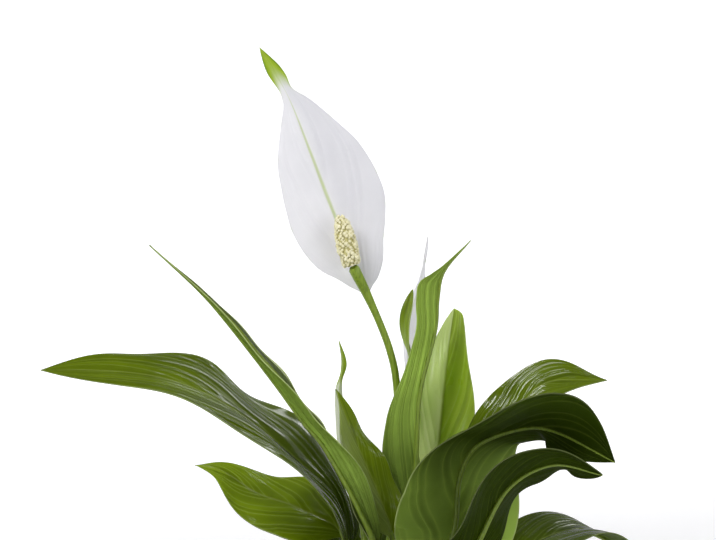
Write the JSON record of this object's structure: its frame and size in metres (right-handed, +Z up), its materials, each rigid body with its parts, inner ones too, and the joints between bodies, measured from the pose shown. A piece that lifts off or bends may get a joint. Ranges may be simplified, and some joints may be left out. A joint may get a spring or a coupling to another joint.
{
  "type": "potted peace lily",
  "caption": "Potted peace lily: a clump of long-stalked arching leaves and white hooded flower spikes, standing in a filled plain clay pot.",
  "frame": {"origin": "centre of the pot's flat foot, which is also the middle of the plant's spread", "axes": "+Z up along the pot's axis and the plant's height; the open bloom's face and spadix look towards -Y; +X to the right of a viewer who faces the open bloom"},
  "size_m": [0.3342, 0.3072, 0.451],
  "materials": {
    "clay": "matte",
    "soil": "matte",
    "leaf": "satin",
    "stalk": "satin",
    "spathe": "satin",
    "spadix": "matte"
  },
  "bodies": {
    "root": {"pot": "clay", "soil": "soil", "leaf_left_high": "leaf", "leaf_left_broad": "leaf", "leaf_left_low": "leaf", "leaf_centre_small": "leaf", "leaf_centre_tall": "leaf", "leaf_centre_back": "leaf", "leaf_right_front": "leaf", "leaf_right_back": "leaf", "leaf_right_low": "leaf", "leaf_back_high": "leaf", "leaf_behind_tip": "leaf", "leaf_low_right": "leaf", "leaf_low_right_back": "leaf", "leaf_low_back_right": "leaf", "leaf_low_back": "leaf", "leaf_low_back_left": "leaf", "leaf_low_left": "leaf", "leaf_low_left_front": "leaf", "leaf_low_front": "leaf", "leaf_low_right_front": "leaf", "open_bloom_stalk": "stalk", "open_bloom_spathe": "spathe", "open_bloom_spadix": "spadix", "back_bloom_stalk": "stalk", "back_bloom_spathe": "spathe", "back_bloom_spadix": "spadix", "young_bloom_stalk": "stalk", "young_bloom_spathe": "spathe", "young_bloom_spadix": "spadix"}
  },
  "joints": []
}
